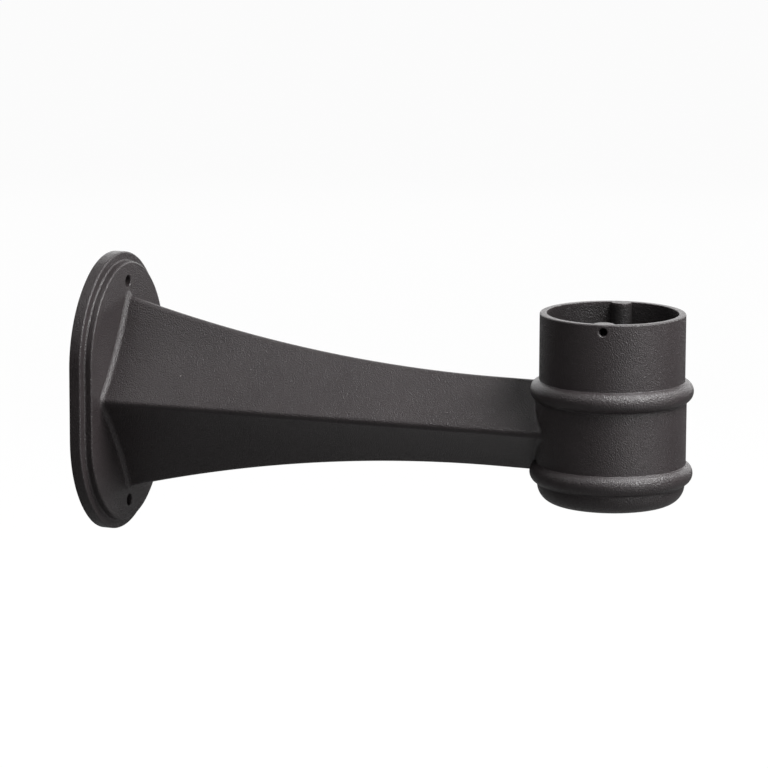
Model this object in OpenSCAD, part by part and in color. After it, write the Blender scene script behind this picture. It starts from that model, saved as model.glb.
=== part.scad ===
// Cast wall bracket for a post-top lamp.
// An oval wall plate, a hollow flared arm of diamond section and an upright cup are one casting.
// Millimetres. The origin is the centre of the plate's back face, on the wall.
// +X points away from the wall along the arm, +Z points up, and the arm's centre line is the X axis.

/* [Wall plate] */
// Width of the wall plate
plate_w = 103; // [96:1:130]
// Height of the wall plate
plate_h = 152; // [146:1:180]
// Length of the straight flank on each side of the plate
flank_len = 38; // [20:1:44]
// Thickness of the outer step that lies on the wall
base_t = 6.5; // [4:0.5:12]
// Thickness of the raised pad on top of the outer step
pad_t = 4.3; // [2.5:0.1:8]
// Width of the ledge between the plate's edge and the raised pad
ledge_w = 5.2; // [3:0.1:7]
// Radius that rounds the front edges of both steps
plate_edge_r = 1; // [0.4:0.1:2]
// Radius of the cove at the foot of the raised pad
cove_r = 1.2; // [0.5:0.1:2]
// Diameter of each wall screw hole
screw_d = 6.5; // [4:0.1:8]
// Distance between the two wall screw holes, one above the other
screw_spacing = 121; // [119:0.5:126]

/* [Arm] */
// Distance from the wall to the upright axis of the cup
reach = 288.5; // [260:0.5:400]
// Height of the arm's diamond section at the wall plate
arm_h_wall = 106; // [70:1:108]
// Width of the arm's diamond section at the wall plate
arm_w_wall = 71; // [56:1:76]
// Height of the arm's diamond section at the cup
arm_h_cup = 47.8; // [40:0.1:54]
// Width of the arm's diamond section at the cup
arm_w_cup = 53; // [42:0.5:58]
// Distance from the wall at which the arm stops tapering
flare_end = 225; // [120:1:240]
// Radius that rounds the four long edges of the arm
arm_edge_r = 2.8; // [1:0.1:5]
// Radius of the shallow hollow along each of the arm's four faces
face_hollow_r = 180; // [120:5:600]
// Radius of the fillet around the foot of the arm
foot_fillet_r = 3; // [1:0.1:3.5]
// Thickness of the arm's hollow wall
arm_wall = 4; // [2.5:0.1:6]
// Radius inside the four corners of the arm's hollow
hollow_corner_r = 3; // [1:0.1:5]

/* [Cup] */
// Outside diameter of the plain spigot that the lamp fits over
spigot_d = 76; // [60:0.5:90]
// Height of the rim above the arm's centre line
rim_h = 62.4; // [50:0.1:100]
// Step by which the drum between the two beads stands out from the spigot
drum_step = 0.95; // [0.2:0.05:3]
// Step by which the foot below the lower bead stands out from the spigot
foot_step = 0.5; // [0.1:0.05:3]
// Depth of the cup's bottom below the arm's centre line
foot_depth = 37.6; // [34:0.1:60]
// Radius that rounds the bottom edge of the cup
foot_round_r = 10; // [4:0.5:14]
// Height by which each of the two beads stands out from the drum
bead_rise = 3.6; // [1.5:0.1:5]
// Radius of the round bead section
bead_r = 5.5; // [4.5:0.1:6]
// Distance between the two beads, half above and half below the arm's centre line
bead_spacing = 43.4; // [42:0.1:48]
// Thickness of the cup's wall at the spigot
cup_wall = 3.7; // [2.5:0.1:6]
// Thickness of the cup's floor
cup_floor = 4.5; // [3:0.1:8]
// Radius inside the bottom corner of the cup
floor_round_r = 6; // [2:0.5:10]
// Radius that rounds the outer edge of the rim
rim_edge_r = 0.8; // [0.3:0.1:1.5]

/* [Clamping screws] */
// Radius of each half-round boss inside the rim
boss_r = 5.5; // [4:0.1:8]
// Length of each boss, downwards from the rim
boss_len = 24; // [12:1:36]
// Angle by which the two bosses are turned from square across the arm
boss_turn = 11.5; // [0:0.5:30]
// Core diameter of the tapped hole in each boss
tapped_d = 4.2; // [3:0.1:6]
// Depth of the tapped hole from the outside of the spigot
tapped_depth = 7; // [5:0.1:8]
// Depth of the tapped hole's centre below the rim
tapped_drop = 3.8; // [3.5:0.1:12]

/* [Hidden] */

$fn = 96;
// Short length by which a cutting shape runs past what it cuts
over = 1;

// Plate: each end is three tangent arcs, and their centres stand on a 3-4-5 triangle
plate_t = base_t + pad_t;
half_w = plate_w / 2;
half_flank = flank_len / 2;
arc_gap = (plate_h / 2 - half_flank - half_w) / 2;
tip_r = half_w - 2 * arc_gap;
tip_c = [0, half_flank + 4 * arc_gap];
corner_r = half_w + 3 * arc_gap;
corner_c = [-3 * arc_gap, half_flank];

// Arm: how its rings and corners are divided
taper_rings = 18;
fillet_rings = 4;
corner_steps = 4;
face_steps = 4;

// Cup
spigot_r = spigot_d / 2;
drum_r = spigot_r + drum_step;
foot_r = spigot_r + foot_step;
bead_c = drum_r + bead_rise - bead_r;
bore_r = spigot_r - cup_wall;
floor_z = cup_floor - foot_depth;
bead_z = bead_spacing / 2;
arm_end = reach - bore_r / 2;
hollow_end = reach - 0.7 * bore_r;

// Share of the taper that is left at a distance x from the wall, from 1 at the plate to 0
function taper(x) = min(1, max(0, (flare_end - x) / (flare_end - plate_t)));

// Half the height of the arm, which flares as a parabola
function half_height(x) = (arm_h_cup + (arm_h_wall - arm_h_cup) * pow(taper(x), 2)) / 2;

// Half the width of the arm, which tapers in a straight line
function half_width(x) = (arm_w_cup + (arm_w_wall - arm_w_cup) * taper(x)) / 2;

// Growth of the arm's section in the fillet at its foot, at a distance d in front of the plate
function foot_growth(d) =
    let (left = foot_fillet_r - min(foot_fillet_r, max(0, d)))
    foot_fillet_r - sqrt(foot_fillet_r * foot_fillet_r - left * left);

// Points on an arc about the centre c
function arc(c, r, from, to, steps, first = 0) =
    [for (i = [first : steps]) let (a = from + (to - from) * i / steps) c + r * [cos(a), sin(a)]];

// A quarter of the section, from its side edge to its top edge.
// The side and top corner circles have radius r, and a shallow hollow of radius hollow_r joins them.
function quarter(w, h, r, hollow_r) =
    let (side = [w - r, 0], top = [0, h - r])
    let (span = norm(top - side), lean = asin(span / 2 / (hollow_r + r)))
    let (normal_a = atan2(side[0], top[1]))
    let (out = sqrt(pow(hollow_r + r, 2) - span * span / 4))
    let (c = (side + top) / 2 + out * [cos(normal_a), sin(normal_a)])
    concat(
        arc(side, r, 0, normal_a + lean, corner_steps),
        arc(c, hollow_r, 180 + normal_a + lean, 180 + normal_a - lean, face_steps, 1),
        arc(top, r, normal_a - lean, 90, corner_steps, 1));

// The whole section, from its quarter mirrored twice
function mirrored(q) =
    let (n = len(q))
    concat(
        q,
        [for (i = [n - 2 : -1 : 0]) [-q[i][0], q[i][1]]],
        [for (i = [1 : n - 1]) [-q[i][0], -q[i][1]]],
        [for (i = [n - 2 : -1 : 1]) [q[i][0], -q[i][1]]]);

// Outer section of the arm at a distance x from the wall
function outer_section(x) =
    let (g = foot_growth(x - plate_t))
    mirrored(quarter(half_width(x) + g, half_height(x) + g, arm_edge_r + g, face_hollow_r - g));

// Depth of the shallow hollow at the middle of a face
function face_sag(x) =
    let (span = norm([half_width(x), half_height(x)]))
    face_hollow_r - sqrt(pow(face_hollow_r, 2) - span * span / 4);

// Section of the hollow inside the arm, which keeps the wall's thickness behind each face
function hollow_section(x) =
    let (side = half_width(x) - arm_edge_r, top = half_height(x) - arm_edge_r)
    let (normal_a = atan2(side, top))
    let (inset = arm_wall + face_sag(x) + hollow_corner_r - arm_edge_r)
    let (in_side = side - inset / cos(normal_a), in_top = top - inset / sin(normal_a))
    mirrored(concat(
        arc([in_side, 0], hollow_corner_r, 0, normal_a, corner_steps),
        arc([0, in_top], hollow_corner_r, normal_a, 90, corner_steps)));

// Solid through a row of sections with equal numbers of points, each standing at its own x
module loft(xs, sections) {
    n = len(sections[0]);
    last = len(xs) - 1;
    points = [for (k = [0 : last]) for (p = sections[k]) [xs[k], p[0], p[1]]];
    skin = [for (k = [0 : last - 1]) for (i = [0 : n - 1])
        let (a = k * n + i, b = k * n + (i + 1) % n)
        each [[a, a + n, b], [b, a + n, b + n]]];
    near_cap = [[for (i = [0 : n - 1]) i]];
    far_cap = [[for (i = [n - 1 : -1 : 0]) last * n + i]];
    polyhedron(points = points, faces = concat(skin, near_cap, far_cap), convexity = 6);
}

// Section through one side of the plate, from its centre out to an edge at radius r.
// The thickness runs up the page.
module plate_section(r) {
    pad_r = r - ledge_w;
    square([r, base_t - plate_edge_r]);
    square([r - plate_edge_r, base_t]);
    translate([r - plate_edge_r, base_t - plate_edge_r]) circle(plate_edge_r);
    square([pad_r, plate_t - plate_edge_r]);
    square([pad_r - plate_edge_r, plate_t]);
    translate([pad_r - plate_edge_r, plate_t - plate_edge_r]) circle(plate_edge_r);
    translate([pad_r, base_t]) difference() {
        square(cove_r);
        translate([cove_r, cove_r]) circle(cove_r);
    }
}

// Part of the plate with an edge at radius r about c, between the directions from and to
module plate_wedge(c, r, from, to) {
    intersection() {
        translate(c) rotate_extrude() plate_section(r);
        translate([0, 0, -over]) linear_extrude(plate_t + 2 * over)
            polygon([c, c + plate_h * from, c + plate_h * to]);
    }
}

// One end of the plate, with its tip upwards on the page
module plate_end() {
    plate_wedge(tip_c, tip_r, [0.6, 0.8], [-0.6, 0.8]);
    for (side = [0, 1]) mirror([side, 0]) plate_wedge(corner_c, corner_r, [1, 0], [0.6, 0.8]);
}

// Stepped oval plate with straight flanks, turned to stand on the wall
module plate() {
    rotate([90, 0, 90]) {
        for (end = [0, 1]) mirror([0, end]) plate_end();
        for (side = [0, 1]) mirror([side, 0])
            translate([0, half_flank]) rotate([90, 0, 0])
                linear_extrude(flank_len) plate_section(half_w);
    }
}

// Arm with a fillet around its foot, which runs into the plate and into the cup
module arm() {
    foot = [for (i = [0 : fillet_rings]) plate_t + foot_fillet_r * (1 - cos(90 * i / fillet_rings))];
    start = foot[fillet_rings];
    body = [for (i = [1 : taper_rings]) start + (flare_end - start) * i / taper_rings];
    xs = concat([base_t], foot, body, [arm_end]);
    loft(xs, [for (x = xs) outer_section(x)]);
}

// Hollow through the arm for the cable, from the wall into the cup
module arm_hollow() {
    xs = concat(
        [-over],
        [for (i = [0 : taper_rings]) plate_t + (flare_end - plate_t) * i / taper_rings],
        [hollow_end]);
    loft(xs, [for (x = xs) hollow_section(x)]);
}

// Cup before it is bored, turned about its upright axis
module cup_body() {
    rotate_extrude() {
        square([spigot_r - rim_edge_r, rim_h]);
        square([spigot_r, rim_h - rim_edge_r]);
        translate([spigot_r - rim_edge_r, rim_h - rim_edge_r]) circle(rim_edge_r);
        translate([0, -bead_z]) square([drum_r, bead_spacing]);
        translate([0, foot_round_r - foot_depth])
            square([foot_r, foot_depth - foot_round_r - bead_z]);
        translate([0, -foot_depth]) square([foot_r - foot_round_r, foot_depth]);
        translate([foot_r - foot_round_r, foot_round_r - foot_depth]) circle(foot_round_r);
        for (z = [-bead_z, bead_z]) translate([bead_c, z]) circle(bead_r);
    }
}

// Inside of the cup, with a rounded bottom corner
module cup_bore() {
    rotate_extrude() {
        translate([0, floor_z + floor_round_r])
            square([bore_r, rim_h + over - floor_z - floor_round_r]);
        translate([0, floor_z]) square([bore_r - floor_round_r, rim_h + over - floor_z]);
        translate([bore_r - floor_round_r, floor_z + floor_round_r]) circle(floor_round_r);
    }
}

// Places its children on each of the two boss directions, with their +X pointing outwards
module at_bosses() {
    for (a = [boss_turn - 90, boss_turn + 90]) rotate(a) children();
}

// Two half-round bosses that thicken the spigot's wall where it is tapped
module bosses() {
    intersection() {
        at_bosses() translate([bore_r, 0, rim_h - boss_len]) cylinder(h = boss_len, r = boss_r);
        translate([0, 0, rim_h - boss_len]) cylinder(h = boss_len, r = bore_r + cup_wall / 2);
    }
}

// The blind tapped holes for the screws that clamp the lamp, with the thread's core diameter
module tapped_holes() {
    at_bosses() translate([spigot_r - tapped_depth, 0, rim_h - tapped_drop])
        rotate([0, 90, 0]) cylinder(h = tapped_depth + over, d = tapped_d);
}

// The two wall screw holes
module screw_holes() {
    for (z = [-screw_spacing / 2, screw_spacing / 2])
        translate([-over, 0, z]) rotate([0, 90, 0]) cylinder(h = plate_t + 2 * over, d = screw_d);
}

// The whole casting
module bracket_casting() {
    color([0.13, 0.12, 0.12]) difference() {
        union() {
            difference() {
                union() {
                    plate();
                    arm();
                    translate([reach, 0, 0]) cup_body();
                }
                arm_hollow();
                translate([reach, 0, 0]) cup_bore();
            }
            translate([reach, 0, 0]) bosses();
        }
        translate([reach, 0, 0]) tapped_holes();
        screw_holes();
    }
}

bracket_casting();
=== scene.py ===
"""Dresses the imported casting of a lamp's wall bracket: shape, powder coat, light and camera."""

import math

import bmesh
import bpy
from mathutils import Matrix, Vector


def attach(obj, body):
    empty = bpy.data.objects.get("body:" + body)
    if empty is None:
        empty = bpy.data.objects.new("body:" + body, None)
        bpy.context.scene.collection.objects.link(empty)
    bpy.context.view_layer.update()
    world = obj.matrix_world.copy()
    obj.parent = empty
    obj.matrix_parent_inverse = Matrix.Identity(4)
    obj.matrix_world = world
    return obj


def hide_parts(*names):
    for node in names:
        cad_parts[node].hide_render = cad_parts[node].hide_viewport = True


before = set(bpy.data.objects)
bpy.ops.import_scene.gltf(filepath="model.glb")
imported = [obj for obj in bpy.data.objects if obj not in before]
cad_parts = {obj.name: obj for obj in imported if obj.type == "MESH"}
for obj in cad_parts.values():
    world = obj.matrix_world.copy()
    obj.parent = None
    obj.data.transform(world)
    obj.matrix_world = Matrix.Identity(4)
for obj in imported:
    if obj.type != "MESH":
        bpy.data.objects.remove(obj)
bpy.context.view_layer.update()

# Sizes are written in millimetres, as in the part's source, and the scene is in metres
MM = 0.001

# Camera
# It stands where the photographer stood, 22 degrees round from square on the arm's side and
# 11 degrees above it, about 2.5 m away behind a long lens.
camera_round, camera_down, camera_roll = (math.radians(angle) for angle in (22.107, 10.82, 0.23))
camera_turn = (
    Matrix.Rotation(camera_round, 4, "Z")
    @ Matrix.Rotation(math.pi / 2 - camera_down, 4, "X")
    @ Matrix.Rotation(camera_roll, 4, "Z")
)
origin_in_view = Vector((-148.741, -2.893, -2451.115)) * MM
sensor_mm, focal_pixels, photo_pixels = 36, 4500, 768
camera = bpy.data.objects.new("camera", bpy.data.cameras.new("camera"))
camera.data.sensor_width = sensor_mm
camera.data.lens = sensor_mm * focal_pixels / photo_pixels
camera.data.clip_end = 20
camera.matrix_world = Matrix.Translation(-(camera_turn.to_3x3() @ origin_in_view)) @ camera_turn
bpy.context.collection.objects.link(camera)
bpy.context.scene.camera = camera

# Cup
# The upright end of the casting, which the lamp slips over. Its outside is round: a plain spigot,
# two round beads with a drum between them, and a foot with a rounded bottom edge. It is cast
# solid with the arm and bored out here afterwards, as the mould's core does.
coat = bpy.data.materials.new("black powder coat")


class Wire:
    """A value in a node tree. Sums, products and quotients of wires add Math nodes to it."""

    def __init__(self, tree, socket):
        self.tree, self.socket = tree, socket

    @classmethod
    def node(cls, tree, kind, settings=(), inputs=(), output=0):
        """Adds any other node: its settings first, then the values or links of its sockets."""
        node = tree.nodes.new(kind)
        for name, value in dict(settings).items():
            if name == "stops":
                while len(node.color_ramp.elements) < len(value):
                    node.color_ramp.elements.new(1)
                for element, (place, colour) in zip(node.color_ramp.elements, value):
                    element.position, element.color = place, colour
            else:
                setattr(node, name, value)
        for name, value in dict(inputs).items():
            for part in value if isinstance(value, list) else [value]:
                if isinstance(part, Wire):
                    tree.links.new(part.socket, node.inputs[name])
                else:
                    node.inputs[name].default_value = part
        return cls(tree, node.outputs[output])

    def math(self, operation, *others):
        """One Math node on this value, and on others where the operation takes them."""
        inputs = enumerate((self, *others))
        return Wire.node(self.tree, "ShaderNodeMath", {"operation": operation}, inputs)

    def __add__(self, other):
        return self.math("ADD", other)

    def __sub__(self, other):
        return self.math("SUBTRACT", other)

    def __rsub__(self, other):
        return self.math("MULTIPLY_ADD", -1.0, other)

    def __mul__(self, other):
        return self.math("MULTIPLY", other)

    def __truediv__(self, other):
        return self.math("DIVIDE", other)

    def clamped(self):
        """Held between 0 and 1."""
        return self.math("MAXIMUM", 0.0).math("MINIMUM", 1.0)

    def part(self, axis):
        """X, Y or Z of a vector."""
        return Wire.node(self.tree, "ShaderNodeSeparateXYZ", {}, {0: self}, output=axis)

    __radd__ = __add__
    __rmul__ = __mul__


def node_tree(name, *sizes):
    """A new Geometry Nodes tree with the object's own mesh and these named sizes as inputs."""
    tree = bpy.data.node_groups.new(name, "GeometryNodeTree")
    for size, kind in (("Geometry", "NodeSocketGeometry"), *sizes):
        tree.interface.new_socket(size, in_out="INPUT", socket_type=kind)
    tree.interface.new_socket("Geometry", in_out="OUTPUT", socket_type="NodeSocketGeometry")
    given = tree.nodes.new("NodeGroupInput")
    return tree, [Wire(tree, socket) for socket in given.outputs[:-1]]


def end_tree(tree, geometry):
    """Ends a tree in Realize Instances and Set Material, with the coat."""
    whole = Wire.node(tree, "GeometryNodeRealizeInstances", {}, {"Geometry": geometry})
    coated = Wire.node(
        tree, "GeometryNodeSetMaterial", {}, {"Geometry": whole, "Material": coat}
    )
    tree.links.new(coated.socket, tree.nodes.new("NodeGroupOutput").inputs[0])


def grown(name, tree, points, sizes):
    """The plain mesh that a tree makes from a row of points, with its sizes set by their names."""
    mesh = bpy.data.meshes.new(name)
    mesh.from_pydata(points, [], [])
    seed = bpy.data.objects.new(name, mesh)
    bpy.context.collection.objects.link(seed)
    modifier = seed.modifiers.new("tree", "NODES")
    modifier.node_group = tree
    for item in tree.interface.items_tree:
        if item.in_out == "INPUT" and item.name in sizes:
            modifier[item.identifier] = sizes[item.name]
    graph = bpy.context.evaluated_depsgraph_get()
    result = bpy.data.objects.new(name, bpy.data.meshes.new_from_object(seed.evaluated_get(graph)))
    bpy.context.collection.objects.link(result)
    bpy.data.objects.remove(seed)
    return closed(result)


def closed(thing):
    """Merges a mesh's doubles, fills its open ends and points its faces outwards."""
    shape = bmesh.new()
    shape.from_mesh(thing.data)
    bmesh.ops.remove_doubles(shape, verts=shape.verts, dist=1e-7)
    bmesh.ops.dissolve_degenerate(shape, edges=shape.edges, dist=1e-7)
    bmesh.ops.holes_fill(shape, edges=shape.edges)
    bmesh.ops.recalc_face_normals(shape, faces=shape.faces)
    shape.to_mesh(thing.data)
    shape.free()
    return thing


def arc(centre, radius, start, end, steps):
    """Points along an arc, with its angles in degrees."""
    return [
        (
            centre[0] + radius * math.cos(math.radians(start + (end - start) * i / steps)),
            centre[1] + radius * math.sin(math.radians(start + (end - start) * i / steps)),
        )
        for i in range(steps + 1)
    ]


turned_tree, (outline, turns, reach_wire) = node_tree(
    "turned outline", ("Steps around", "NodeSocketInt"), ("Axis from wall", "NodeSocketFloat")
)
outline_points = Wire.node(
    turned_tree, "GeometryNodeAttributeDomainSize", {"component": "MESH"}, {"Geometry": outline}
)
sheet = Wire.node(
    turned_tree,
    "GeometryNodeMeshGrid",
    {},
    {"Size X": 1.0, "Size Y": 1.0, "Vertices X": turns + 1, "Vertices Y": outline_points},
)
place = Wire.node(turned_tree, "GeometryNodeInputPosition")
angle = (place.part("X") + 0.5) * math.tau
point_number = ((place.part("Y") + 0.5) * (outline_points - 1)).math("ROUND")
outline_place = Wire.node(
    turned_tree,
    "GeometryNodeSampleIndex",
    {"data_type": "FLOAT_VECTOR", "domain": "POINT"},
    {"Geometry": outline, "Value": place, "Index": point_number},
)
radius, height = outline_place.part("X"), outline_place.part("Z")
turned_place = Wire.node(
    turned_tree,
    "ShaderNodeCombineXYZ",
    {},
    {
        "X": radius * angle.math("COSINE") + reach_wire,
        "Y": radius * angle.math("SINE"),
        "Z": height,
    },
)
end_tree(
    turned_tree,
    Wire.node(
        turned_tree, "GeometryNodeSetPosition", {}, {"Geometry": sheet, "Position": turned_place}
    ),
)


def turned(name, outline, steps, axis):
    """A closed solid turned about an upright axis from an outline of radii and heights in mm."""
    points = [(r * MM, 0, z * MM) for r, z in outline]
    sizes = {"Steps around": steps, "Axis from wall": axis * MM}
    return grown(name, turned_tree, points, sizes)


reach = 288.5
spigot_r, rim_z, rim_round = 38.0, 62.4, 0.8
drum_r, foot_r, foot_z, foot_round = 38.95, 38.5, -37.6, 10.0
bead_z, bead_c, bead_r = 21.7, 37.05, 5.5
crease_below, crease_above = 0.9, 0.35
steps_round = 192


def bead(z, below, above):
    """Outline of one bead, upwards, between faces of these radii below and above it. A small
    fillet joins it to the face below, and a sharper one to the face above."""
    ends = []
    for face_r, side, soft in ((below, -1, crease_below), (above, 1, crease_above)):
        centre_r = face_r + soft
        rise = math.sqrt((bead_r + soft) ** 2 - (centre_r - bead_c) ** 2)
        tilt = math.degrees(math.atan2(rise, centre_r - bead_c))
        ends.append((centre_r, z + side * rise, tilt, soft))
    (low_r, low_z, low_tilt, low_soft), (high_r, high_z, high_tilt, high_soft) = ends
    return (
        arc((low_r, low_z), low_soft, 180, 180 - low_tilt, 5)
        + arc((bead_c, z), bead_r, -low_tilt, high_tilt, 26)[1:]
        + arc((high_r, high_z), high_soft, 180 + high_tilt, 180, 5)[1:]
    )


# The points between the ends of a straight run keep its faces short
cup_outline = (
    [(0, foot_z), (14, foot_z), (24, foot_z)]
    + arc((foot_r - foot_round, foot_z + foot_round), foot_round, -90, 0, 16)
    + bead(-bead_z, foot_r, drum_r)
    + [(drum_r, -8), (drum_r, 0), (drum_r, 8)]
    + bead(bead_z, drum_r, spigot_r)
    + [(spigot_r, 35), (spigot_r, 44), (spigot_r, 53)]
    + arc((spigot_r - rim_round, rim_z - rim_round), rim_round, 0, 90, 5)
    + [(30, rim_z), (0, rim_z)]
)
casting = turned("bracket", cup_outline, steps_round, reach)

# Arm
# The long part of the casting, between the wall plate and the cup. Its section is a diamond with
# rounded edges and very slightly hollow faces. It flares towards the wall, as a parabola in height
# and in a straight line in width, and a fillet runs around each of its ends.
flare_end, plate_front = 225.0, 10.8
arm_h_wall, arm_w_wall, arm_h_cup, arm_w_cup = 106.0, 71.0, 47.8, 53.0
edge_r, face_hollow_r, foot_fillet, cup_fillet = 2.8, 180.0, 3.0, 2.5
rows_foot, rows_body, rows_cup, steps_quarter = 8, 64, 8, 20

# The skin runs on into the plate and the cup, so that both joins are whole
into_plate, into_pad, into_cup, tail_step, tail_from_axis = 3.0, 0.02, 0.05, 1.0, 20.0

arm_tree, (_, *arm_sizes) = node_tree(
    "flared arm",
    ("Plate front", "NodeSocketFloat"),
    ("Taper end", "NodeSocketFloat"),
    ("Height at wall", "NodeSocketFloat"),
    ("Width at wall", "NodeSocketFloat"),
    ("Height at cup", "NodeSocketFloat"),
    ("Width at cup", "NodeSocketFloat"),
    ("Edge radius", "NodeSocketFloat"),
    ("Face hollow radius", "NodeSocketFloat"),
    ("Foot fillet", "NodeSocketFloat"),
    ("Cup fillet", "NodeSocketFloat"),
    ("Cup axis", "NodeSocketFloat"),
    ("Drum radius", "NodeSocketFloat"),
    ("Bead height", "NodeSocketFloat"),
    ("Bead centre", "NodeSocketFloat"),
    ("Bead radius", "NodeSocketFloat"),
)
front, taper_end, h_wall, w_wall, h_cup, w_cup, edge, hollow = arm_sizes[:8]
foot_r_wire, cup_r_wire, axis, drum_wire, bead_z_wire, bead_c_wire, bead_r_wire = arm_sizes[8:]
rows = 1 + rows_foot + rows_body + rows_cup + 2
skin = Wire.node(
    arm_tree,
    "GeometryNodeMeshGrid",
    {},
    {
        "Size X": 4.0,
        "Size Y": float(rows),
        "Vertices X": 4 * steps_quarter + 1,
        "Vertices Y": rows + 1,
    },
)
place = Wire.node(arm_tree, "GeometryNodeInputPosition")
around = place.part("X") + 2.0
row = place.part("Y") + rows / 2

# From a side edge, 0, to the top or bottom edge, 1, and back again
edge_share = 0.3
upwards = around.math("PINGPONG", 1.0)
side_part = (upwards / edge_share).clamped()
face_part = ((upwards - edge_share) / (1 - 2 * edge_share)).clamped()
top_part = ((upwards - (1 - edge_share)) / edge_share).clamped()
quadrant = around.math("MODULO", 4.0)
y_sign = (quadrant - 1.0).math("SIGN") * (quadrant - 3.0).math("SIGN")
z_sign = (2.0 - quadrant).math("SIGN")


def section(half_w, half_h):
    """A point of the arm's section and the direction its face looks in, in the upper quarter."""
    side, top = half_w - edge, half_h - edge
    span = (side * side + top * top).math("SQRT")
    lean = (span / 2 / (hollow + edge)).math("ARCSINE")
    facing = side.math("ARCTAN2", top)
    normal = (
        side_part * (facing + lean)
        - face_part * lean * 2.0
        + top_part * (math.pi / 2 - facing + lean)
    )
    middle = face_part * (1 - face_part) * 4.0
    sag = middle * span * span / 8 / hollow
    y = side * (1 - face_part) + normal.math("COSINE") * edge - facing.math("COSINE") * sag
    z = top * face_part + normal.math("SINE") * edge - facing.math("SINE") * sag
    return y, z, normal


def cup_face(y, z):
    """Distance from the wall at which a line along the arm meets the outside of the cup."""
    from_bead = z - bead_z_wire
    bulge = (bead_r_wire * bead_r_wire - from_bead * from_bead).math("MAXIMUM", 0.0).math("SQRT")
    round_r = (bead_c_wire + bulge).math("MAXIMUM", drum_wire)
    return axis - (round_r * round_r - y * y).math("MAXIMUM", 0.0).math("SQRT")


# The row inside the plate, the fillet at the foot, the body, and the skirt against the cup
first = 1 - row.clamped()
foot_turn = ((row - 1.0) / rows_foot).clamped() * (math.pi / 2)
foot_x = front + foot_r_wire * (1 - foot_turn.math("COSINE"))
foot_out = foot_r_wire * (1 - foot_turn.math("SINE"))
y_end, z_end, normal_end = section(w_cup / 2, h_cup / 2)
crease_x = cup_face(y_end, z_end)
skirt_x = cup_face(
    y_end + cup_r_wire * normal_end.math("COSINE"), z_end + cup_r_wire * normal_end.math("SINE")
)
body_part = ((row - 1.0 - rows_foot) / rows_body).clamped()
body_x = foot_x + (crease_x - cup_r_wire - front - foot_r_wire) * body_part
skirt_part = ((row - 1.0 - rows_foot - rows_body) / rows_cup).clamped()
bend = 1 - skirt_part
curve_x = (
    bend * bend * (crease_x - cup_r_wire)
    + skirt_part * bend * crease_x * 2.0
    + skirt_part * skirt_part * (skirt_x + into_cup * MM)
)
in_skirt = (row - 1.0 - rows_foot - rows_body).clamped().math("CEIL")

# The last two rows, inside the cup
tail = (row - rows + 2.0).clamped()
last = (row - rows + 1.0).clamped()
x = body_x * (1 - in_skirt) + curve_x * in_skirt - (into_plate * MM) * first
x = x + (tail_step * MM) * tail * (1 - last)
x = x * (1 - last) + (axis - tail_from_axis * MM) * last
left = ((taper_end - x) / (taper_end - front)).clamped()
half_w = (w_cup + (w_wall - w_cup) * left) / 2
half_h = (h_cup + (h_wall - h_cup) * left * left) / 2
y, z, normal = section(half_w, half_h)
outwards = foot_out + cup_r_wire * skirt_part * skirt_part * (1 - last)
arm_place = Wire.node(
    arm_tree,
    "ShaderNodeCombineXYZ",
    {},
    {
        "X": x,
        "Y": (y + outwards * normal.math("COSINE")) * y_sign,
        "Z": (z + outwards * normal.math("SINE")) * z_sign,
    },
)
end_tree(
    arm_tree,
    Wire.node(
        arm_tree, "GeometryNodeSetPosition", {}, {"Geometry": skin, "Position": arm_place}
    ),
)
arm = grown(
    "arm",
    arm_tree,
    [(0, 0, 0)],
    {
        "Plate front": (plate_front - into_pad) * MM,
        "Taper end": flare_end * MM,
        "Height at wall": arm_h_wall * MM,
        "Width at wall": arm_w_wall * MM,
        "Height at cup": arm_h_cup * MM,
        "Width at cup": arm_w_cup * MM,
        "Edge radius": edge_r * MM,
        "Face hollow radius": face_hollow_r * MM,
        "Foot fillet": foot_fillet * MM,
        "Cup fillet": cup_fillet * MM,
        "Cup axis": reach * MM,
        "Drum radius": drum_r * MM,
        "Bead height": bead_z * MM,
        "Bead centre": bead_c * MM,
        "Bead radius": bead_r * MM,
    },
)


def combined(thing, tool, operation):
    """Joins a closed mesh to the casting, or cuts it out, and uses it up."""
    modifier = thing.modifiers.new("combine", "BOOLEAN")
    modifier.operation, modifier.solver, modifier.object = operation, "MANIFOLD", tool
    graph = bpy.context.evaluated_depsgraph_get()
    result = bpy.data.meshes.new_from_object(thing.evaluated_get(graph))
    thing.modifiers.clear()
    thing.data = result
    bpy.data.objects.remove(tool)
    return thing


combined(casting, arm, "UNION")

# Wall plate
# The stepped oval end of the casting, which is screwed to the wall. Its outer step lies on the
# wall, and a raised pad stands in front of it with a cove at its foot. Two plain holes are drilled
# through it, one above and one below the arm.
half_plate_w, half_plate_h, half_flank = 51.5, 76.0, 19.0
base_t, ledge_w, plate_edge_r, back_edge_r, cove_r, face_depth = 6.5, 5.2, 1.0, 0.3, 1.2, 40.0
screw_r, screw_gap = 3.25, 121.0

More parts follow.
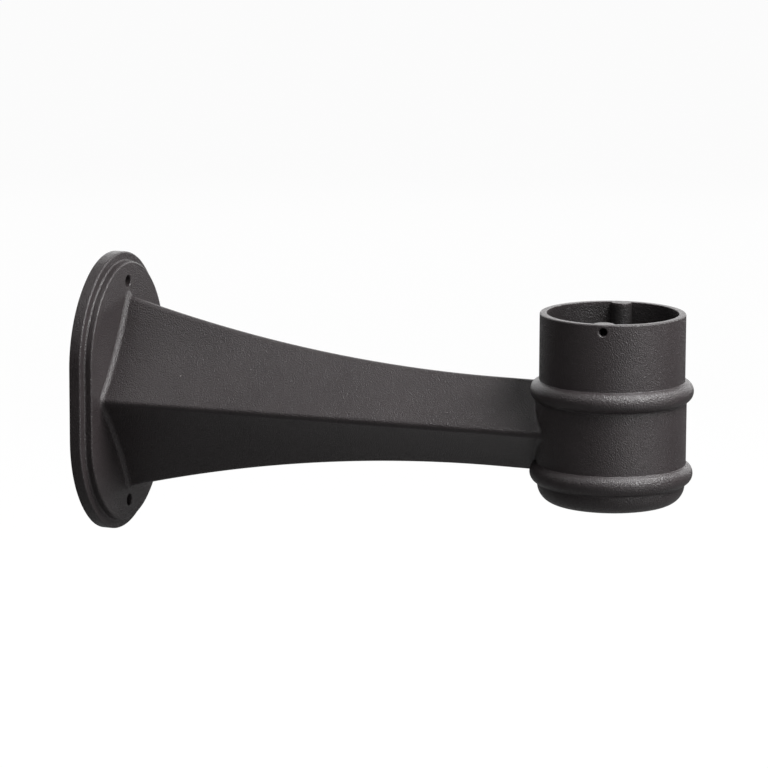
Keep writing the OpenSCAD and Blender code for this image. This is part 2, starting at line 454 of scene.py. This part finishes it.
# Each end is three tangent arcs, and their centres stand on a 3-4-5 triangle
arc_gap = (half_plate_h - half_flank - half_plate_w) / 2
tip_turn = math.degrees(math.atan2(4, 3))
tip_r, corner_r = half_plate_w - 2 * arc_gap, half_plate_w + 3 * arc_gap
tip_up, corner_in = half_flank + 4 * arc_gap, 3 * arc_gap
oval_arcs = (
    ((-corner_in, half_flank), corner_r, 0, tip_turn, 22),
    ((0, tip_up), tip_r, tip_turn, 180 - tip_turn, 30),
    ((corner_in, half_flank), corner_r, 180 - tip_turn, 180, 22),
    ((corner_in, -half_flank), corner_r, 180, 180 + tip_turn, 22),
    ((0, -tip_up), tip_r, 180 + tip_turn, 360 - tip_turn, 30),
    ((-corner_in, -half_flank), corner_r, 360 - tip_turn, 360, 22),
)
edge_points, inward = [], []
for centre, oval_r, start, end, steps in oval_arcs:
    for (y, z), (toward_y, toward_z) in zip(
        arc(centre, oval_r, start, end, steps), arc((0, 0), -1, start, end, steps)
    ):
        edge_points.append((0, y * MM, z * MM))
        inward.append((0, toward_y, toward_z))

# Depth in from the plate's edge and height in front of the wall, from the back to the front.
# The points at 12 and 14 keep the faces beside the rounded edges short.
plate_front_r = plate_front - plate_edge_r
moulding = (
    [(face_depth, 0), (12, 0)]
    + arc((back_edge_r, back_edge_r), back_edge_r, -90, -180, 3)
    + arc((plate_edge_r, base_t - plate_edge_r), plate_edge_r, 180, 90, 7)
    + arc((ledge_w - cove_r, base_t + cove_r), cove_r, -90, 0, 7)
    + arc((ledge_w + plate_edge_r, plate_front_r), plate_edge_r, 180, 90, 7)
    + [(14, plate_front), (face_depth, plate_front)]
)

oval_tree, (plate_points, oval_steps, moulding_points) = node_tree(
    "stepped oval", ("Steps around", "NodeSocketInt"), ("Moulding points", "NodeSocketInt")
)
skin = Wire.node(
    oval_tree,
    "GeometryNodeMeshGrid",
    {},
    {"Size X": 1.0, "Size Y": 1.0, "Vertices X": oval_steps + 1, "Vertices Y": moulding_points},
)
place = Wire.node(oval_tree, "GeometryNodeInputPosition")
step_number = ((place.part("X") + 0.5) * oval_steps).math("ROUND").math("MODULO", oval_steps)
rise_number = ((place.part("Y") + 0.5) * (moulding_points - 1)).math("ROUND")


def point_at(number):
    """The place of one of the points that the tree is given."""
    return Wire.node(
        oval_tree,
        "GeometryNodeSampleIndex",
        {"data_type": "FLOAT_VECTOR", "domain": "POINT"},
        {"Geometry": plate_points, "Value": place, "Index": number},
    )


on_edge = point_at(step_number)
towards = point_at(step_number + oval_steps)
rise = point_at(rise_number + oval_steps * 2.0)
oval_place = Wire.node(
    oval_tree,
    "ShaderNodeCombineXYZ",
    {},
    {
        "X": rise.part("Z"),
        "Y": on_edge.part("Y") + towards.part("Y") * rise.part("X"),
        "Z": on_edge.part("Z") + towards.part("Z") * rise.part("X"),
    },
)
end_tree(
    oval_tree,
    Wire.node(
        oval_tree, "GeometryNodeSetPosition", {}, {"Geometry": skin, "Position": oval_place}
    ),
)
plate = grown(
    "plate",
    oval_tree,
    edge_points + inward + [(depth * MM, 0, rise * MM) for depth, rise in moulding],
    {"Steps around": len(edge_points), "Moulding points": len(moulding)},
)
combined(casting, plate, "UNION")

# Hollow
# The core that leaves the arm hollow for the cable, from the plate's back into the cup, and the
# bore of the cup, which is open at the rim and closed below.
arm_wall, hollow_corner = 4.0, 3.0
cup_wall, cup_floor, floor_round, lip_round = 3.7, 4.5, 6.0, 0.4
bore_r, floor_z = spigot_r - cup_wall, foot_z + cup_floor


def core_section(x):
    """Section of the hollow at a distance x from the wall, arm_wall behind each face."""
    left = min(1, max(0, (flare_end - x) / (flare_end - plate_front)))
    side = (arm_w_cup + (arm_w_wall - arm_w_cup) * left) / 2 - edge_r
    top = (arm_h_cup + (arm_h_wall - arm_h_cup) * left**2) / 2 - edge_r
    facing = math.atan2(side, top)
    span = math.hypot(side + edge_r, top + edge_r)
    sag = face_hollow_r - math.sqrt(face_hollow_r**2 - span**2 / 4)
    inset = arm_wall + sag + hollow_corner - edge_r
    in_side, in_top = side - inset / math.cos(facing), top - inset / math.sin(facing)
    turn = math.degrees(facing)
    side_corner = arc((in_side, 0), hollow_corner, 0, turn, 6)
    quarter = side_corner + arc((0, in_top), hollow_corner, turn, 90, 6)
    return (
        quarter
        + [(-y, z) for y, z in quarter[-2::-1]]
        + [(-y, -z) for y, z in quarter[1:]]
        + [(y, -z) for y, z in quarter[-2:0:-1]]
    )


def lofted(name, stations, section_at):
    """A closed solid through the sections at these distances from the wall, in mm."""
    rings = [[(x * MM, y * MM, z * MM) for y, z in section_at(x)] for x in stations]
    around = len(rings[0])
    points = [point for ring in rings for point in ring]
    faces = [
        (k + i, k + (i + 1) % around, k + around + (i + 1) % around, k + around + i)
        for k in range(0, len(points) - around, around)
        for i in range(around)
    ]
    mesh = bpy.data.meshes.new(name)
    mesh.from_pydata(points, [], faces)
    result = bpy.data.objects.new(name, mesh)
    bpy.context.collection.objects.link(result)
    return closed(result)


core_steps = 36
flare = [plate_front + (flare_end - plate_front) * i / core_steps for i in range(core_steps + 1)]
core = lofted("core", [-1, *flare, reach - 0.7 * bore_r], core_section)
combined(casting, core, "DIFFERENCE")
bore_outline = (
    [(0, floor_z), (14, floor_z)]
    + arc((bore_r - floor_round, floor_z + floor_round), floor_round, -90, 0, 10)
    + [(bore_r, -8), (bore_r, 8), (bore_r, 24), (bore_r, 40)]
    + arc((bore_r + lip_round, rim_z - lip_round), lip_round, 180, 90, 4)
    + [(bore_r + lip_round, rim_z + 1), (0, rim_z + 1)]
)
combined(casting, turned("bore", bore_outline, steps_round, reach), "DIFFERENCE")

# Bosses and holes
# Two half-round ribs inside the rim, opposite each other, thicken the wall where it is drilled
# and tapped for the screws that clamp the lamp. The plate's plain screw holes come last.
boss_r, boss_length, boss_turn, boss_edge, boss_end, boss_end_r = 5.5, 24.0, 11.5, 0.5, 2.75, 2.5
tapped_r, thread_r, pitch, tapped_drop, tapped_depth = 2.1, 2.45, 0.8, 3.8, 7.0
mouth_depth, rings_per_mm, thread_steps, under_rim, hole_edge = 0.25, 10, 40, 0.02, 0.3
boss_angles = (boss_turn - 90, boss_turn + 90)


def moved(thing, matrix):
    """Moves a mesh within its object, which stays at the origin."""
    thing.data.transform(matrix)
    return thing


def along_boss(angle, height):
    """The place on the cup's wall in this direction, with X pointing outwards from the axis."""
    return (
        Matrix.Translation((reach * MM, 0, height * MM))
        @ Matrix.Rotation(math.radians(angle), 4, "Z")
    )


def tapped_section(rings_up):
    """Ring of the tapped hole's cutter, so many rings above its bottom. The thread has sloping
    flanks with flat crests and roots, and a countersunk mouth."""
    ring = []
    depth = rings_up / rings_per_mm
    mouth_r = thread_r + depth - tapped_depth + mouth_depth
    for i in range(thread_steps):
        turn_share = i / thread_steps
        wave = abs(((depth / pitch - turn_share) % 1) * 2 - 1)
        groove = min(1, max(0, wave * 1.3 - 0.2))
        hole_r = max(tapped_r + (thread_r - tapped_r) * groove, mouth_r)
        angle = math.tau * turn_share
        ring.append((hole_r * math.cos(angle), hole_r * math.sin(angle)))
    return ring


boss_foot, boss_top = rim_z - boss_length - boss_end, rim_z - under_rim
boss_outline = (
    [(0, boss_foot), (boss_r - boss_end_r, boss_foot)]
    + arc((boss_r - boss_end_r, boss_foot + boss_end_r), boss_end_r, -90, 0, 6)[1:]
    + arc((boss_r - boss_edge, boss_top - boss_edge), boss_edge, 0, 90, 4)
    + [(0, boss_top)]
)

# A boss is kept only as far out as the middle of the cup's wall
keep_r, keep_z = bore_r + cup_wall / 2, rim_z + 5
for boss_angle in boss_angles:
    boss = turned("boss", boss_outline, 48, 0)
    moved(boss, along_boss(boss_angle, 0) @ Matrix.Translation((bore_r * MM, 0, 0)))
    keep = turned("keep", [(0, 0), (keep_r, 0), (keep_r, keep_z), (0, keep_z)], 96, reach)
    combined(boss, keep, "INTERSECT")
    combined(casting, boss, "UNION")

for boss_angle in boss_angles:
    hole = lofted("tapped hole", range(int((tapped_depth + 1) * rings_per_mm)), tapped_section)
    moved(hole, Matrix.Diagonal((1 / rings_per_mm, 1, 1, 1)))
    bottom = Matrix.Translation(((spigot_r - tapped_depth) * MM, 0, 0))
    moved(hole, along_boss(boss_angle, rim_z - tapped_drop) @ bottom)
    combined(casting, hole, "DIFFERENCE")

mouth_r = screw_r + hole_edge
screw_outline = [(0, -1), (mouth_r, -1), (mouth_r, 0), (screw_r, hole_edge)]
screw_outline += [(screw_r, plate_front - hole_edge), (mouth_r, plate_front)]
screw_outline += [(mouth_r, plate_front + 1), (0, plate_front + 1)]
along_x = Matrix.Rotation(math.pi / 2, 4, "Y")
for side in (-1, 1):
    screw_hole = turned("screw hole", screw_outline, 64, 0)
    moved(screw_hole, Matrix.Translation((0, 0, side * screw_gap / 2 * MM)) @ along_x)
    combined(casting, screw_hole, "DIFFERENCE")

# Finish
# Satin black powder coat, baked on over the raw casting. It has a fine grain and a slight change
# of tint, it is rougher inside the cup, where painted shade also darkens its colour, and a few
# specks of dust stuck in it.
coat.use_nodes = True
coat_tree = coat.node_tree
coat_tree.nodes.clear()
where = Wire.node(coat_tree, "ShaderNodeTexCoord", output="Object")


def noise(scale, detail):
    """Even noise through the whole piece, with so many waves to the metre."""
    inputs = {"Vector": where, "Scale": scale, "Detail": detail}
    return Wire.node(coat_tree, "ShaderNodeTexNoise", {}, inputs)


grain, cloud, swell = noise(1500.0, 2.0), noise(38.0, 3.0), noise(240.0, 2.0)

# Inside the cup, with a soft end under the rim: 1 there and 0 elsewhere. There it darkens the
# colour as painted shade and makes the coat rougher
across_axis = Wire.node(
    coat_tree,
    "ShaderNodeVectorMath",
    {"operation": "MULTIPLY_ADD"},
    {0: where, 1: (1, 1, 0), 2: (-reach * MM, 0, 0)},
)
from_axis = Wire.node(
    coat_tree, "ShaderNodeVectorMath", {"operation": "LENGTH"}, {0: across_axis}, output="Value"
)
height_up = where.part("Z")
in_bore = (((bore_r + 0.5) * MM - from_axis) * 1500.0).clamped()
under_lip = (((rim_z - 1.0) * MM - height_up) * 900.0).clamped()
over_floor = ((height_up - (floor_z - 1.0) * MM) * 900.0).clamped()
inside_shade_and_matt = in_bore * under_lip * over_floor

# Specks of dust, far apart, in a few of the cells only
cells = {"Vector": where, "Scale": 55.0, "Randomness": 1.0}
speck_distance = Wire.node(coat_tree, "ShaderNodeTexVoronoi", {}, cells, output="Distance")
speck_pick = Wire.node(
    coat_tree,
    "ShaderNodeSeparateColor",
    {},
    {0: Wire.node(coat_tree, "ShaderNodeTexVoronoi", {}, cells, output="Color")},
)
specks = ((0.022 - speck_distance) * 200.0).clamped() * ((speck_pick - 0.6) * 50.0).clamped()

tint = Wire.node(
    coat_tree,
    "ShaderNodeValToRGB",
    {"stops": ((0.3, (0.0142, 0.0114, 0.0121, 1)), (0.7, (0.0222, 0.0182, 0.0188, 1)))},
    {"Fac": cloud * 0.4 + grain * 0.6},
)
# Painted shade: inside the cup the coat's colour is mixed most of the way to a near-black
tint_and_painted_shade = Wire.node(
    coat_tree,
    "ShaderNodeMix",
    {"data_type": "RGBA"},
    {0: inside_shade_and_matt * 0.8, 6: tint, 7: (0.004, 0.0036, 0.0036, 1)},
    output=2,
)
dusted = Wire.node(
    coat_tree,
    "ShaderNodeMix",
    {"data_type": "RGBA"},
    {0: specks * 0.6, 6: tint_and_painted_shade, 7: (0.30, 0.29, 0.28, 1)},
    output=2,
)
bumps = Wire.node(
    coat_tree,
    "ShaderNodeBump",
    {},
    {"Strength": 0.8, "Distance": 0.0006, "Height": grain + swell * 0.1 + specks * 0.6},
)
surface = Wire.node(
    coat_tree,
    "ShaderNodeBsdfPrincipled",
    {},
    {
        "Base Color": dusted,
        "Roughness": cloud * 0.1 + grain * 0.1 + inside_shade_and_matt * 0.12 + 0.26,
        "Specular IOR Level": 0.38,
        "Normal": bumps,
    },
)
coat_tree.links.new(
    surface.socket, coat_tree.nodes.new("ShaderNodeOutputMaterial").inputs["Surface"]
)

# The finished casting takes the place of its CAD node, smooth but for its real edges
shape = bmesh.new()
shape.from_mesh(casting.data)
bmesh.ops.remove_doubles(shape, verts=shape.verts, dist=2e-6)
bmesh.ops.dissolve_degenerate(shape, edges=shape.edges, dist=2e-6)
for face in shape.faces:
    face.smooth = True
shape.to_mesh(casting.data)
shape.free()
casting.data.set_sharp_from_angle(angle=math.radians(32))
weighted = casting.modifiers.new("weighted normals", "WEIGHTED_NORMAL")
weighted.keep_sharp, weighted.weight, weighted.mode = True, 50, "FACE_AREA"

# One slot, also for the faces that the cutters left without a material
casting.data.materials.clear()
casting.data.materials.append(coat)
casting.name = "finished_casting"
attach(casting, "root")
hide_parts("bracket_casting")

# Floor and light
# A plain pale floor well below the bracket, a white backdrop, and soft studio lamps. The camera
# sees both nearly white, and the floor keeps a faint shadow. Other rays meet a dull grey.
floor_half, floor_drop, bracket_middle = 6.0, 0.3, 0.16
floor = bpy.data.objects.new("floor", bpy.data.meshes.new("floor"))
floor_corners = [
    (x * floor_half, y * floor_half, -floor_drop) for x, y in ((-1, -1), (1, -1), (1, 1), (-1, 1))
]
floor.data.from_pydata(floor_corners, [], [(0, 1, 2, 3)])
bpy.context.collection.objects.link(floor)
pale = bpy.data.materials.new("pale floor")
pale.use_nodes = True
pale.node_tree.nodes.clear()
seen = Wire.node(pale.node_tree, "ShaderNodeLightPath", output="Is Camera Ray")
floor_colour = Wire.node(
    pale.node_tree,
    "ShaderNodeMix",
    {"data_type": "RGBA"},
    {0: seen, 6: (0.14, 0.14, 0.14, 1), 7: (0.85, 0.85, 0.85, 1)},
    output=2,
)
lit = Wire.node(
    pale.node_tree, "ShaderNodeBsdfDiffuse", {}, {"Color": floor_colour}, output="BSDF"
)
white = Wire.node(pale.node_tree, "ShaderNodeEmission", {}, {"Strength": 1.0}, output="Emission")
floor_mix = Wire.node(
    pale.node_tree, "ShaderNodeMixShader", {}, {0: seen * 0.965, 1: lit, 2: white}
)
pale.node_tree.links.new(
    floor_mix.socket, pale.node_tree.nodes.new("ShaderNodeOutputMaterial").inputs["Surface"]
)
floor.data.materials.append(pale)

world = bpy.data.worlds.new("studio")
bpy.context.scene.world = world
world.use_nodes = True
world.node_tree.nodes.clear()
seen = Wire.node(world.node_tree, "ShaderNodeLightPath", output="Is Camera Ray")
level = Wire.node(
    world.node_tree,
    "ShaderNodeBackground",
    {},
    {"Color": (1, 1, 1, 1), "Strength": seen * 0.97 + 0.03},
)
world.node_tree.links.new(
    level.socket, world.node_tree.nodes.new("ShaderNodeOutputWorld").inputs["Surface"]
)


def softbox(name, round_deg, up_deg, away, size, watts):
    """A lamp that looks at the bracket from this direction, with its edges in metres."""
    turn = (
        Matrix.Translation((bracket_middle, 0, 0))
        @ Matrix.Rotation(math.radians(round_deg), 4, "Z")
        @ Matrix.Rotation(math.radians(90 - up_deg), 4, "X")
    )
    lamp = bpy.data.objects.new(name, bpy.data.lights.new(name, "AREA"))
    lamp.data.shape, lamp.data.size, lamp.data.size_y = "RECTANGLE", size[0], size[1]
    lamp.data.energy = watts
    lamp.visible_camera = False
    lamp.matrix_world = turn @ Matrix.Translation((0, 0, away))
    bpy.context.collection.objects.link(lamp)


softbox("key", 85, 51, 1.2, (0.7, 0.6), 47)
softbox("side", 66, -4, 1.3, (1.0, 0.34), 7)
softbox("fill", -48, 54, 1.2, (0.7, 0.5), 5.2)
softbox("front", 15, 35, 1.3, (0.5, 0.5), 1.6)
softbox("rear edge", 165, 10, 1.4, (0.9, 0.5), 2)
softbox("rear left", -150, 15, 1.4, (1.3, 0.7), 3)
softbox("backdrop", 202, 24, 2.6, (5, 2.4), 38)

bpy.context.scene.view_settings.view_transform = "Standard"
